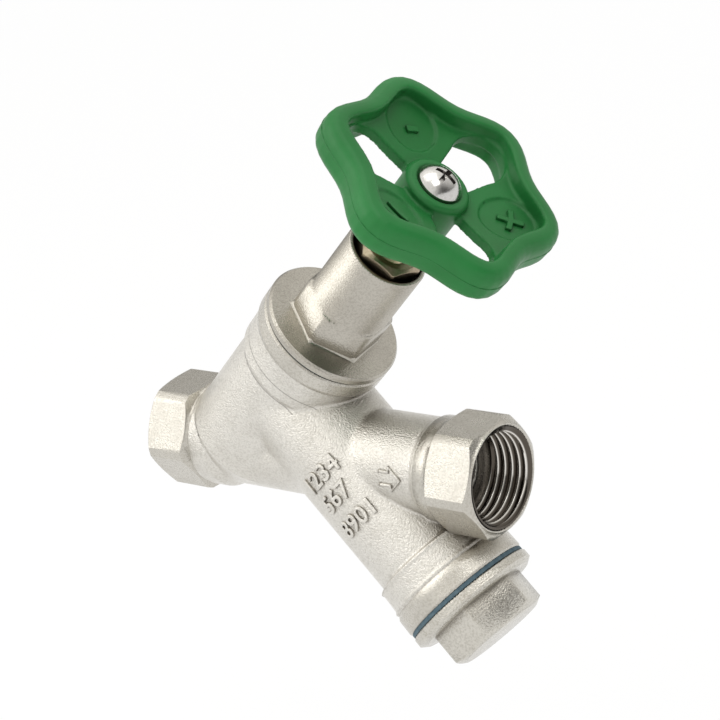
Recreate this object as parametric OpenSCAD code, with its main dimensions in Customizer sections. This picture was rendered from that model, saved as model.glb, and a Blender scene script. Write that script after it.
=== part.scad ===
// Oblique stop valve with a built-in Y strainer, 1/2 inch female threads, non-rising stem.
// Origin: centre of the inlet end face. +X runs along the pipe to the outlet, +Z is up, and both
// branches lie in the XZ plane. Millimetres.

/* [Pipe run] */
// Length from the inlet face to the outlet face
face_to_face = 88; // [84:1:96]
// Diameter of the plain necks
neck_d = 20.9; // [19.5:0.1:21.5]
// Nominal flow bore
flow_bore_d = 15; // [13:0.5:16]
// Width across the flats of both end hexagons
hex_af = 23.2; // [23:0.1:25]
// Diameter that the hexagon corners are turned to
hex_corner_d = 25.7; // [25.2:0.1:27]
// Length of each end hexagon
hex_len = 11.4; // [11:0.1:13]
// Turn of the end hexagons about the pipe, from corners up
hex_turn = 38; // [0:1:59]
// Diameter of the turned ring behind each hexagon
ring_d = 22.3; // [21.8:0.1:23]
// Length of that ring
ring_len = 4; // [2:0.5:5]
// Major diameter of the female pipe threads
thread_d = 20.955; // [20.5:0.005:21]
// Depth of the threaded bore
thread_depth = 11; // [9:0.5:11.5]
// Mouth diameter of the thread countersink
mouth_d = 21.9; // [21.4:0.1:22.4]

/* [Valve branch] */
// Angle of both branches to the pipe axis
branch_angle = 45; // [43:1:47]
// Place where the valve axis meets the pipe axis
valve_x = 19.6; // [19:0.2:22]
// Outside diameter of the valve barrel
barrel_d = 26.8; // [26:0.2:28]
// Height at which the barrel starts to flare
barrel_h = 26; // [24:0.5:27]
// Diameter above the flare
flare_d = 28.4; // [28:0.2:29]
// Height of the upper step on the barrel
step_h = 34.9; // [33:0.1:36]
// Diameter of the top collar
collar_d = 30; // [29.4:0.1:31]
// Height of the body's joint face
joint_h = 39; // [38:0.5:42]
// Height of the upper face of the partition that holds the seat
partition_h = 5; // [4:0.2:6]
// Thickness of that partition
partition_t = 2.5; // [2:0.1:3]
// Bore of the valve chamber
chamber_d = 21.2; // [20.6:0.2:22]
// Bore of the valve seat
seat_bore_d = 13; // [11:0.5:13.4]
// Outside diameter of the seat ring
seat_d = 16.4; // [15.8:0.2:17]
// Height of the seat lip above the partition
seat_lip_h = 1.8; // [1.4:0.1:2.4]

/* [Strainer branch] */
// Place where the strainer axis meets the pipe axis
strainer_x = 48.3; // [47:0.1:51]
// Outside diameter of the strainer barrel
strainer_d = 26; // [25.4:0.2:27]
// Distance to the first ridge
ridge_1 = 27.6; // [26:0.1:29]
// Distance to the second ridge
ridge_2 = 34; // [33:0.1:35]
// Diameter between the ridges
ridge_d = 28; // [27.4:0.2:28.6]
// Diameter of the end collar
end_collar_d = 29.7; // [29:0.1:30.4]
// Distance to the strainer joint face
strainer_h = 38.6; // [37.5:0.1:41]
// Bore of the strainer chamber
strainer_bore_d = 20.8; // [20:0.2:21.2]
// Distance from the pipe axis to the screen partition, towards the valve
screen_partition_h = 1; // [0.5:0.5:2]

/* [Strainer basket] */
// Outside diameter of the screen
screen_d = 16; // [15:0.2:16.2]
// Wall of the screen
screen_t = 0.4; // [0.3:0.1:0.6]
// Length of the screen's top ring
top_ring_len = 4.5; // [4:0.5:5]
// Wall that both rings add around the screen
ring_wall = 0.28; // [0.2:0.02:0.4]
// Diameter of the holes in the screen
hole_d = 1.6; // [1.2:0.1:1.8]
// Holes in each row round the screen
holes_round = 10; // [6:1:12]
// Rows of holes
hole_rows = 8; // [4:1:9]

/* [Strainer cap] */
// Outside diameter of the cap flange
cap_flange_d = 29.8; // [29:0.1:30.6]
// Thickness of the cap flange
cap_flange_t = 2.9; // [2.4:0.1:3.4]
// Width across the flats of the cap's hexagon
cap_af = 20.4; // [19:0.1:21]
// Height of the cap's hexagon
cap_hex_h = 7.7; // [6:0.1:9]
// Turn of the cap's hexagon
cap_turn = 1; // [0:1:59]
// Thickness of the cap gasket
cap_gasket_t = 0.8; // [0.6:0.1:1.2]
// Major diameter of the cap thread
cap_thread_d = 22.4; // [22:0.1:22.8]
// Length of the cap thread
cap_thread_len = 8; // [6:0.5:9]

/* [Bonnet] */
// Thickness of the bonnet gasket
bonnet_gasket_t = 0.6; // [0.4:0.1:1]
// Thickness of the bonnet flange
flange_t = 1.6; // [1.4:0.1:2.4]
// Major diameter of the bonnet thread
bonnet_thread_d = 23.7; // [23.4:0.1:24.2]
// Length of the bonnet below its flange
skirt_len = 12.6; // [11.5:0.1:13]
// Width across the flats of the bonnet's hexagon
bonnet_af = 17.6; // [17.6:0.1:19]
// Height of the bonnet's hexagon
bonnet_hex_h = 7.9; // [7:0.1:10]
// Foot of the hexagon's fillet, beyond its corners
bonnet_fillet = 0.8; // [0.5:0.1:1]
// Turn of the bonnet's hexagon, from a corner at the front
bonnet_turn = 9; // [0:1:59]
// Outside diameter of the sleeve
sleeve_d = 17.5; // [17:0.1:17.6]
// Height of the sleeve's rim above the pipe axis
sleeve_h = 64.2; // [63:0.1:66]
// Bore of the open recess at the sleeve's rim
recess_d = 15.8; // [15.4:0.1:16]
// Depth of that recess
recess_depth = 3.4; // [3:0.1:4]
// Bore that guides the disc carrier
guide_d = 14.2; // [14:0.1:14.6]
// Height of the shoulder that the stem collar bears on
shoulder_h = 47; // [46.6:0.1:48]
// Bore of the packing box
box_d = 12; // [11.6:0.1:12.4]
// Length of the stem's journal in the bonnet
journal_len = 4.5; // [3.5:0.1:5]

/* [Gland] */
// Width across the flats of the gland nut
gland_af = 13; // [12.4:0.1:13.4]
// Height of the gland nut's hexagon
gland_hex_h = 5.2; // [4.8:0.1:8]
// Turn of the gland nut's hexagon
gland_turn = 19; // [0:1:59]
// Major diameter of the gland thread
gland_thread_d = 13; // [12.8:0.1:13.4]
// Length of the gland thread
gland_thread_len = 3.4; // [3:0.1:3.8]
// Thickness of the gland ring
gland_ring_t = 1.2; // [0.8:0.1:1.6]

/* [Stem] */
// Diameter of the stem
stem_d = 8; // [7.6:0.1:8.4]
// Major diameter of the stem's driving thread
drive_d = 9.9; // [9.4:0.1:10.2]
// Lead of that left-hand thread for one turn
drive_lead = 2.5; // [2:0.5:3]
// Thickness of the stem collar
stem_collar_t = 2.1; // [1.8:0.1:2.4]
// Thickness of the thrust washer
thrust_t = 0.6; // [0.4:0.1:0.8]
// Width of the square that carries the handwheel
square_w = 5.6; // [5:0.1:5.8]
// Height of the square's shoulder above the pipe axis
square_h = 75; // [74:0.5:76]

/* [Disc] */
// Travel of the disc from closed to open
lift = 12; // [9:0.5:12]
// Diameter of the disc head
disc_d = 18.4; // [17.8:0.2:19]
// Diameter of the rubber seat disc
rubber_d = 17.2; // [16.4:0.2:17.4]
// Thickness of the rubber seat disc
rubber_t = 2.5; // [2:0.1:3]
// Thickness of the metal above the rubber
head_t = 2.6; // [2.4:0.1:3]
// Width of the two lugs that stop the carrier turning
lug_w = 2.4; // [2:0.1:3]
// Height of those lugs above the carrier
lug_h = 0.75; // [0.5:0.05:0.8]

/* [Handwheel] */
// Diameter over the lobes
wheel_d = 52.1; // [50:0.1:56]
// Depth of the valleys between the lobes
valley = 3.8; // [3.4:0.2:4.4]
// Height of the rim
rim_h = 8.4; // [7.6:0.2:9.6]
// Width of the rim
rim_w = 4.2; // [4:0.1:4.8]
// Radius of the rim's outer edges
rim_round = 2.6; // [1.8:0.1:3.2]
// Radius of the rim's inner edges
rim_in_round = 0.6; // [0.3:0.1:0.8]
// Height of the rim's middle above the pipe axis
rim_mid_h = 84.85; // [84:0.05:86]
// Thickness of the web
web_t = 2.4; // [2:0.1:3]
// Height of the web over the rim's middle, where it meets the rim
web_rise = 1.35; // [0.8:0.05:1.8]
// Rise of the dished web from the hub to the rim
dish = 2.8; // [2:0.1:3]
// Diameter of the hub
hub_d = 14.2; // [13.4:0.2:15]
// Height of the hub
hub_h = 10.3; // [9:0.1:11]
// Depth of the recess that holds the screw head
screw_recess = 0.5; // [0.3:0.1:0.8]
// Diameter of the round end of the three windows
window_d = 11.6; // [10:0.2:12]
// Diameter of the round panels on the three arms
panel_d = 11.8; // [11:0.2:12.4]
// Depth of those panels
panel_depth = 0.5; // [0.3:0.1:0.8]
// Turn of the handwheel about the stem
wheel_turn = -23.5; // [-60:0.5:60]

/* [Handwheel screw] */
// Diameter of the screw head
screw_head_d = 9.4; // [9:0.1:9.8]
// Height of the screw head
screw_head_h = 3.3; // [3:0.1:3.6]
// Diameter of the screw shank
screw_d = 4.9; // [4.6:0.1:5]
// Length of the shank in the stem
screw_len = 10; // [8:0.5:12]

/* [Fits] */
// Radial clearance of threads that stay together
thread_gap = 0.05; // [0.02:0.01:0.08]
// Radial clearance of parts that turn or slide
run_gap = 0.06; // [0.04:0.01:0.09]
// Gap between faces of parts that only meet when closed
face_gap = 0.05; // [0.02:0.01:0.1]

/* [Hidden] */
$fn = 64;
rim_steps = 72;
eps = 0.4;
// Half width of the blocks that trim the two ways
reach = face_to_face / 2;

// Heights on the valve axis, from the pipe axis
seat_face = partition_h + seat_lip_h;
skirt_top = joint_h + bonnet_gasket_t;
skirt_end = skirt_top - skirt_len;
flange_top = skirt_top + flange_t;
hex_top = flange_top + bonnet_hex_h;
bonnet_corner_d = bonnet_af / cos(30) - 0.7;
recess_floor = sleeve_h - recess_depth;
box_floor = shoulder_h + journal_len;
gland_ring_h = recess_floor - gland_thread_len - gland_ring_t;
rubber_bottom = seat_face + face_gap;
rubber_top = rubber_bottom + rubber_t;
head_top = rubber_top + head_t;
collar_top = shoulder_h - thrust_t - face_gap;
collar_bottom = collar_top - stem_collar_t;
carrier_top = collar_bottom - lift - 0.7;
thread_end = head_top + lift + 1.6;
hub_top = square_h + hub_h;
web_rim_r = wheel_d / 2 - rim_w;
web_rim_h = rim_mid_h + web_rise;
web_foot = web_rim_h - dish;
window_c = web_rim_r - 0.8 - window_d / 2;
panel_c = web_rim_r - 0.4 - panel_d / 2;

// Distances on the strainer axis, from the pipe axis
cross_h = (strainer_x - valve_x) / (2 * cos(branch_angle));
cap_seat = strainer_h + cap_gasket_t;
cap_hex_start = cap_seat + cap_flange_t;
screen_hole_d = screen_d + 2 * ring_wall + 2 * run_gap;
ring_start = -screen_partition_h - top_ring_len - 1;
screen_start = ring_start + 2;
screen_end = cap_seat - 0.8;

module on_valve_axis() {
    translate([valve_x, 0, 0]) rotate([0, 90 - branch_angle, 0]) children();
}

module on_strainer_axis() {
    translate([strainer_x, 0, 0]) rotate([0, 90 + branch_angle, 0]) children();
}

module along_pipe(x) {
    translate([x, 0, 0]) rotate([0, 90, 0]) children();
}

// A flat ring standing on height z
module ring(outer_d, inner_d, z, h) {
    translate([0, 0, z]) difference() {
        cylinder(d = outer_d, h = h);
        translate([0, 0, -eps]) cylinder(d = inner_d, h = h + 2 * eps);
    }
}

// A hexagon whose corners are turned to a diameter and bevelled at 30 degrees on the chosen ends
module turned_hex(af, corner_d, h, low = true, high = true) {
    bevel = (corner_d - af) / 2 + 0.6;
    rise = bevel * tan(30);
    intersection() {
        cylinder(d = af / cos(30), h = h, $fn = 6);
        rotate_extrude() polygon([
            [0, 0],
            [corner_d / 2 - (low ? bevel : 0), 0],
            [corner_d / 2, low ? rise : 0],
            [corner_d / 2, h - (high ? rise : 0)],
            [corner_d / 2 - (high ? bevel : 0), h],
            [0, h]
        ]);
    }
}

// One end of the pipe run, from its face inwards
module port_end() {
    rotate([0, 0, hex_turn]) turned_hex(hex_af, hex_corner_d, hex_len);
    translate([0, 0, hex_len - 0.5]) cylinder(d1 = hex_af - 0.6, d2 = ring_d, h = 1.6);
    cylinder(d = ring_d, h = hex_len + ring_len - 0.8);
    translate([0, 0, hex_len + ring_len - 0.8]) cylinder(d1 = ring_d, d2 = neck_d, h = 0.8);
}

// The threaded mouth, from the end face inwards
module port_bore() {
    mouth = (mouth_d - thread_d) / 2;
    rotate_extrude() polygon([
        [0, -1],
        [mouth_d / 2 + 1, -1],
        [mouth_d / 2, 0],
        [thread_d / 2, mouth],
        [thread_d / 2, thread_depth],
        [flow_bore_d / 2, thread_depth + 1.5],
        [flow_bore_d / 2, thread_depth + 3],
        [0, thread_depth + 3]
    ]);
}

module barrel_outside() {
    on_valve_axis() rotate_extrude() polygon([
        [0, -4],
        [barrel_d / 2 - 4, -4],
        [barrel_d / 2 - 1, -0.6],
        [barrel_d / 2, 1],
        [barrel_d / 2, barrel_h],
        [flare_d / 2, barrel_h + 1.8],
        [flare_d / 2 + 0.25, step_h - 0.4],
        [collar_d / 2 - 0.2, step_h],
        [collar_d / 2, step_h + 0.8],
        [collar_d / 2, joint_h - 0.4],
        [collar_d / 2 - 0.4, joint_h],
        [0, joint_h]
    ]);
}

module strainer_outside() {
    on_strainer_axis() rotate_extrude() polygon([
        [0, 2.3 - cross_h],
        [strainer_d / 2, 2.3 - cross_h],
        [strainer_d / 2, ridge_1 - 0.6],
        [ridge_d / 2 - 0.1, ridge_1 + 0.6],
        [ridge_d / 2 + 0.2, ridge_2 - 0.3],
        [end_collar_d / 2 - 0.1, ridge_2 + 0.6],
        [end_collar_d / 2, strainer_h - 0.5],
        [end_collar_d / 2 - 0.4, strainer_h],
        [0, strainer_h]
    ]);
}

// The way in, closed off by the lower face of the partition
module inlet_way() {
    intersection() {
        along_pipe(thread_depth + 1) cylinder(d = flow_bore_d, h = valve_x + 12 - thread_depth);
        on_valve_axis() translate([-reach, -reach, -2 * reach])
            cube([2 * reach, 2 * reach, 2 * reach + partition_h - partition_t]);
    }
}

// The way out, which starts on the clean side of the screen partition
module outlet_way() {
    start = strainer_x - 12;
    intersection() {
        along_pipe(start) cylinder(d = flow_bore_d, h = face_to_face - thread_depth - 1 - start);
        on_strainer_axis() translate([-reach, -reach, -screen_partition_h]) cube(2 * reach);
    }
}

// Chamber over the seat, its thread for the bonnet and the hole for the seat ring
module valve_chamber() {
    on_valve_axis() rotate_extrude() polygon([
        [0, partition_h - partition_t - 1],
        [seat_d / 2 + thread_gap, partition_h - partition_t - 1],
        [seat_d / 2 + thread_gap, partition_h],
        [chamber_d / 2, partition_h],
        [chamber_d / 2, skirt_end - 1.6],
        [bonnet_thread_d / 2 + thread_gap, skirt_end - 0.6],
        [bonnet_thread_d / 2 + thread_gap, joint_h + 1],
        [0, joint_h + 1]
    ]);
}

// Chamber round the screen, its thread for the cap and the hole that holds the screen's top ring
module strainer_chamber() {
    thread_start = cap_seat - cap_thread_len - 1.2;
    on_strainer_axis() rotate_extrude() polygon([
        [0, 8 - cross_h],
        [screen_hole_d / 2, 8 - cross_h],
        [screen_hole_d / 2, -screen_partition_h],
        [strainer_bore_d / 2, -screen_partition_h],
        [strainer_bore_d / 2, thread_start],
        [cap_thread_d / 2 + run_gap, thread_start + 0.8],
        [cap_thread_d / 2 + run_gap, strainer_h + 1],
        [0, strainer_h + 1]
    ]);
}

module valve_body() {
    color("#d2cdc2") difference() {
        union() {
            along_pipe(0) port_end();
            along_pipe(face_to_face) mirror([0, 0, 1]) port_end();
            along_pipe(hex_len) cylinder(d = neck_d, h = face_to_face - 2 * hex_len);
            barrel_outside();
            strainer_outside();
        }
        along_pipe(0) port_bore();
        along_pipe(face_to_face) mirror([0, 0, 1]) port_bore();
        inlet_way();
        outlet_way();
        valve_chamber();
        strainer_chamber();
    }
}

module valve_seat() {
    color("#c9c6bf") on_valve_axis() rotate_extrude() polygon([
        [seat_bore_d / 2, partition_h - partition_t],
        [seat_d / 2, partition_h - partition_t],
        [seat_d / 2, partition_h],
        [seat_d / 2 + 0.8, partition_h],
        [seat_d / 2 + 0.8, partition_h + 0.8],
        [seat_d / 2 - 0.6, seat_face - 0.3],
        [seat_d / 2 - 0.8, seat_face],
        [seat_bore_d / 2 + 0.4, seat_face],
        [seat_bore_d / 2, seat_face - 0.5]
    ]);
}

module bonnet() {
    key_w = lug_w + 4 * run_gap;
    key_r = guide_d / 2 + lug_h + 2 * run_gap;
    color("#d2cdc2") on_valve_axis() difference() {
        union() {
            rotate_extrude() polygon([
                [0, skirt_end],
                [bonnet_thread_d / 2 - 0.8, skirt_end],
                [bonnet_thread_d / 2, skirt_end + 0.8],
                [bonnet_thread_d / 2, skirt_top],
                [collar_d / 2, skirt_top],
                [collar_d / 2, flange_top - 0.5],
                [collar_d / 2 - 0.45, flange_top],
                [sleeve_d / 2, flange_top],
                [sleeve_d / 2, sleeve_h - 0.25],
                [sleeve_d / 2 - 0.25, sleeve_h],
                [0, sleeve_h]
            ]);
            translate([0, 0, flange_top - 0.2]) rotate([0, 0, 30 + bonnet_turn]) {
                turned_hex(bonnet_af, bonnet_corner_d, bonnet_hex_h + 0.2, low = false);
                cylinder(d1 = bonnet_corner_d + 2 * bonnet_fillet + 0.4, d2 = bonnet_corner_d - 0.4,
                    h = bonnet_fillet + 0.4, $fn = 6);
            }
        }
        rotate_extrude() polygon([
            [0, skirt_end - 1],
            [guide_d / 2 + run_gap, skirt_end - 1],
            [guide_d / 2 + run_gap, shoulder_h],
            [stem_d / 2 + run_gap, shoulder_h],
            [stem_d / 2 + run_gap, box_floor],
            [box_d / 2, box_floor],
            [box_d / 2, gland_ring_h + gland_ring_t - 0.5],
            [gland_thread_d / 2 + thread_gap, gland_ring_h + gland_ring_t - 0.1],
            [gland_thread_d / 2 + thread_gap, recess_floor],
            [recess_d / 2, recess_floor],
            [recess_d / 2, sleeve_h + 1],
            [0, sleeve_h + 1]
        ]);
        translate([-key_r, -key_w / 2, skirt_end - 1])
            cube([2 * key_r, key_w, carrier_top + lift + 1.4 - skirt_end]);
    }
}

module bonnet_gasket() {
    color("#5d6468") on_valve_axis()
        ring(collar_d - 1.2, bonnet_thread_d + 0.4, joint_h, bonnet_gasket_t);
}

module gland_nut() {
    color("#b9a883") on_valve_axis() difference() {
        union() {
            translate([0, 0, recess_floor - gland_thread_len])
                cylinder(d = gland_thread_d, h = gland_thread_len + 0.2);
            translate([0, 0, recess_floor]) rotate([0, 0, gland_turn])
                turned_hex(gland_af, gland_af / cos(30) - 0.3, gland_hex_h, low = false);
        }
        translate([0, 0, recess_floor - gland_thread_len - 1])
            cylinder(d = stem_d + 2 * run_gap, h = gland_thread_len + gland_hex_h + 2);
        translate([0, 0, recess_floor + gland_hex_h - 0.5])
            cylinder(d1 = stem_d + 2 * run_gap, d2 = stem_d + 2 * run_gap + 1.6, h = 0.8);
    }
}

module gland_ring() {
    color("#b9a883") on_valve_axis()
        ring(box_d - 2 * run_gap, stem_d + 2 * run_gap, gland_ring_h, gland_ring_t);
}

// Two O-rings that fill the packing box between the stem and the bonnet
module stem_o_rings() {
    section = (box_d - stem_d) / 2 - 2 * run_gap;
    pitch = (gland_ring_h - box_floor - section) - 0.1;
    color("#1c1c1e") on_valve_axis() for (i = [0, 1])
        translate([0, 0, box_floor + 0.05 + section / 2 + i * pitch]) rotate_extrude()
            translate([(box_d + stem_d) / 4, 0]) circle(d = section);
}

module thrust_washer() {
    color("#ece8dc") on_valve_axis()
        ring(guide_d - 2 * run_gap, stem_d + 2 * run_gap, shoulder_h - thrust_t, thrust_t);
}

module stem() {
    color("#c8b27a") on_valve_axis() difference() {
        union() {
            rotate_extrude() polygon([
                [0, thread_end],
                [drive_d / 2 - 0.8, thread_end],
                [drive_d / 2, thread_end + 0.8],
                [drive_d / 2, collar_bottom - 1.2],
                [stem_d / 2 - 0.4, collar_bottom - 1.2],
                [stem_d / 2 - 0.4, collar_bottom],
                [guide_d / 2 - 2 * run_gap, collar_bottom],
                [guide_d / 2 - 2 * run_gap, collar_top],
                [stem_d / 2, collar_top],
                [stem_d / 2, square_h],
                [0, square_h]
            ]);
            intersection() {
                translate([0, 0, square_h - 1]) cylinder(d = stem_d, h = hub_h - screw_recess + 0.7);
                rotate([0, 0, wheel_turn]) translate([-square_w / 2, -square_w / 2, square_h - 2])
                    cube([square_w, square_w, hub_h + 4]);
            }
        }
        translate([0, 0, hub_top - screw_recess - screw_len - 1.5])
            cylinder(d = screw_d + 2 * thread_gap, h = screw_len + 3);
    }
}

// Section of the rim, with its flat inner wall at x = -rim_w and its rounded outside at x = 0
function corner(cx, cy, r, a0, n) =
    [for (i = [0 : n]) [cx + r * cos(a0 + 90 * i / n), cy + r * sin(a0 + 90 * i / n)]];

rim_section = concat(
    corner(-rim_round, rim_round - rim_h / 2, rim_round, -90, 4),
    corner(-rim_round, rim_h / 2 - rim_round, rim_round, 0, 4),
    corner(rim_in_round - rim_w, rim_h / 2 - rim_in_round, rim_in_round, 90, 2),
    corner(rim_in_round - rim_w, rim_in_round - rim_h / 2, rim_in_round, 180, 2)
);

// The wavy outline: its radius at an angle, and how far its normal leans there
function wheel_r(a) = wheel_d / 2 - valley / 2 + valley / 2 * cos(6 * a);
function wheel_lean(a) = atan2(3 * valley * sin(6 * a), wheel_r(a));
function rim_point(a, p) = [
    wheel_r(a) * cos(a) + p[0] * cos(a + wheel_lean(a)),
    wheel_r(a) * sin(a) + p[0] * sin(a + wheel_lean(a)),
    rim_mid_h + p[1]
];

module rim() {
    n = len(rim_section);
    polyhedron(
        points = [for (i = [0 : rim_steps - 1], p = rim_section) rim_point(360 * i / rim_steps, p)],
        faces = [for (i = [0 : rim_steps - 1], j = [0 : n - 1], h = [0, 1])
            let (k = (i + 1) % rim_steps, m = (j + 1) % n)
                h == 0 ? [n * i + j, n * i + m, n * k + m] : [n * i + j, n * k + m, n * k + j]]
    );
}

// Outline of the web, which ends inside the rim
module web_outline() {
    polygon([for (a = [0 : 5 : 355]) (wheel_r(a) - rim_w / 2) * [cos(a), sin(a)]]);
}

// One window between two arms, seen from above, pointing along +X
module window_outline() {
    translate([window_c, 0]) circle(d = window_d);
    polygon([
        [0, 0],
        [hub_d / 2, -window_d / 2 + 2],
        [window_c, -window_d / 2],
        [window_c, window_d / 2],
        [hub_d / 2, window_d / 2 - 2]
    ]);
}

// A dished sheet, as the web is, from low to high above the web's top
module dished(low, high) {
    rotate_extrude() polygon([
        [hub_d / 2 - 1, web_foot + low],
        [hub_d / 2 + 1, web_foot + low],
        [web_rim_r - 1, web_rim_h + low],
        [wheel_d / 2 - 1, web_rim_h + low],
        [wheel_d / 2 - 1, web_rim_h + high],
        [web_rim_r - 1, web_rim_h + high],
        [hub_d / 2 + 1, web_foot + high],
        [hub_d / 2 - 1, web_foot + high]
    ]);
}

// The web, with its windows and the panels' recesses
module web() {
    difference() {
        intersection() {
            dished(-web_t, 0);
            translate([0, 0, web_foot - 10]) linear_extrude(20) web_outline();
        }
        for (i = [0 : 2]) rotate([0, 0, 120 * i]) {
            translate([0, 0, web_foot - 10]) linear_extrude(20) window_outline();
            rotate([0, 0, 60]) intersection() {
                translate([panel_c, 0, web_foot - 2]) cylinder(d = panel_d, h = 8);
                dished(-panel_depth, 3);
            }
        }
    }
}

module handwheel() {
    color("#1f7a3d") on_valve_axis() rotate([0, 0, wheel_turn]) difference() {
        union() {
            rim();
            web();
            translate([0, 0, square_h]) cylinder(d = hub_d, h = hub_h - 0.8);
            translate([0, 0, hub_top - 0.8]) cylinder(d1 = hub_d, d2 = hub_d - 1.6, h = 0.8);
        }
        translate([0, 0, hub_top - screw_recess]) cylinder(d = screw_head_d + 0.5, h = 2);
        translate([-square_w / 2 - thread_gap, -square_w / 2 - thread_gap, square_h - 1])
            cube([square_w + 2 * thread_gap, square_w + 2 * thread_gap, hub_h + 2]);
    }
}

module handwheel_screw() {
    base = hub_top - screw_recess;
    r = screw_head_d / 2;
    dome = (r ^ 2 + (screw_head_h - 0.9) ^ 2) / (2 * (screw_head_h - 0.9));
    color("#c7c9cb") on_valve_axis() difference() {
        union() {
            intersection() {
                translate([0, 0, base]) cylinder(r = r, h = screw_head_h);
                translate([0, 0, base + screw_head_h - dome]) sphere(r = dome, $fn = 96);
            }
            translate([0, 0, base - screw_len]) cylinder(d = screw_d, h = screw_len + 0.2);
        }
        for (a = [0, 90]) translate([0, 0, base + 1.4]) rotate([0, 0, a + 15])
            translate([-2.3, -0.5, 0]) cube([4.6, 1, 4]);
    }
}

module disc_carrier() {
    guide_r = guide_d / 2 - run_gap;
    color("#c8b27a") on_valve_axis() difference() {
        union() {
            rotate_extrude() polygon([
                [0, rubber_bottom + 0.1],
                [3.9, rubber_bottom + 0.1],
                [3.9, rubber_top],
                [rubber_d / 2 + thread_gap, rubber_top],
                [rubber_d / 2 + thread_gap, rubber_top - 1.1],
                [disc_d / 2, rubber_top - 1.1],
                [disc_d / 2, head_top - 0.8],
                [disc_d / 2 - 0.8, head_top],
                [guide_r, head_top + 1.2],
                [guide_r, carrier_top - 0.4],
                [guide_r - 0.4, carrier_top],
                [0, carrier_top]
            ]);
            translate([-guide_r - lug_h, -lug_w / 2, carrier_top - 3])
                cube([2 * guide_r + 2 * lug_h, lug_w, 2.5]);
        }
        translate([0, 0, thread_end - lift - 0.6])
            cylinder(d = drive_d + 2 * run_gap, h = carrier_top - thread_end + lift + 2);
        translate([0, 0, rubber_bottom - 1])
            cylinder(d = 3.4 + 2 * thread_gap, h = thread_end - lift - rubber_bottom - 0.8);
    }
}

module seat_disc() {
    color("#26272a") on_valve_axis() ring(rubber_d, 7.9, rubber_bottom, rubber_t);
}

module disc_washer() {
    color("#c7c9cb") on_valve_axis() ring(seat_bore_d - 1.6, 3.6, rubber_bottom - 0.8, 0.8);
}

module disc_screw() {
    color("#c7c9cb") on_valve_axis() {
        difference() {
            translate([0, 0, rubber_bottom - 3.1]) cylinder(d1 = 5.6, d2 = 6.4, h = 2.3);
            translate([-4, -0.5, rubber_bottom - 4]) cube([8, 1, 1.8]);
        }
        translate([0, 0, rubber_bottom - 1]) cylinder(d = 3.4, h = head_top - rubber_bottom - 1.4);
    }
}

module strainer_screen() {
    rows_len = screen_end - screen_start - 14;
    color("#b8babb") on_strainer_axis() difference() {
        ring(screen_d, screen_d - 2 * screen_t, screen_start, screen_end - screen_start);
        for (r = [0 : hole_rows - 1], a = [0 : holes_round - 1])
            translate([0, 0, screen_start + 7 + rows_len * r / (hole_rows - 1)])
                rotate([0, 0, 360 / holes_round * (a + (r % 2) / 2)]) rotate([0, 90, 0])
                    translate([0, 0, screen_d / 2 - 1.5]) cylinder(d = hole_d, h = 3);
    }
}

module screen_top_ring() {
    color("#c8b27a") on_strainer_axis() rotate_extrude() polygon([
        [screen_d / 2 - screen_t, ring_start],
        [screen_d / 2 + ring_wall - 0.2, ring_start],
        [screen_d / 2 + ring_wall, ring_start + 0.4],
        [screen_d / 2 + ring_wall, ring_start + top_ring_len],
        [screen_d / 2 + 0.01, ring_start + top_ring_len],
        [screen_d / 2 + 0.01, screen_start],
        [screen_d / 2 - screen_t, screen_start]
    ]);
}

module screen_base_ring() {
    color("#c8b27a") on_strainer_axis() rotate_extrude() polygon([
        [screen_d / 2 - 1.2, screen_end],
        [screen_d / 2 + 0.01, screen_end],
        [screen_d / 2 + 0.01, screen_end - 3],
        [screen_d / 2 + ring_wall, screen_end - 3],
        [screen_d / 2 + ring_wall, screen_end + 0.6],
        [screen_d / 2 - 1.2, screen_end + 0.6]
    ]);
}

module cap_gasket() {
    color("#6f8793") on_strainer_axis()
        ring(end_collar_d - 0.5, cap_thread_d + 0.5, strainer_h, cap_gasket_t);
}

module strainer_cap() {
    cap_end = cap_hex_start + cap_hex_h;
    color("#d2cdc2") on_strainer_axis() difference() {
        union() {
            rotate_extrude() polygon([
                [0, cap_seat - cap_thread_len],
                [cap_thread_d / 2 - 0.8, cap_seat - cap_thread_len],
                [cap_thread_d / 2, cap_seat - cap_thread_len + 0.8],
                [cap_thread_d / 2, cap_seat],
                [cap_flange_d / 2 - 0.4, cap_seat],
                [cap_flange_d / 2, cap_seat + 0.4],
                [cap_flange_d / 2, cap_hex_start - 0.9],
                [cap_flange_d / 2 - 1.3, cap_hex_start],
                [0, cap_hex_start]
            ]);
            translate([0, 0, cap_hex_start - 0.2]) rotate([0, 0, cap_turn])
                turned_hex(cap_af, cap_af / cos(30) - 0.5, cap_hex_h + 0.2, low = false);
        }
        translate([0, 0, cap_seat - cap_thread_len - 1])
            cylinder(d = screen_d + 2 * ring_wall + 2 * run_gap, h = cap_thread_len + 1);
    }
}

valve_body();
valve_seat();
bonnet();
bonnet_gasket();
gland_nut();
gland_ring();
stem_o_rings();
thrust_washer();
stem();
handwheel();
handwheel_screw();
disc_carrier();
seat_disc();
disc_washer();
disc_screw();
strainer_screen();
screen_top_ring();
screen_base_ring();
cap_gasket();
strainer_cap();
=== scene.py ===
# Oblique stop valve with Y strainer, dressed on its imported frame.
import math

import bmesh
import bpy
from mathutils import Matrix, Vector


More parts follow.
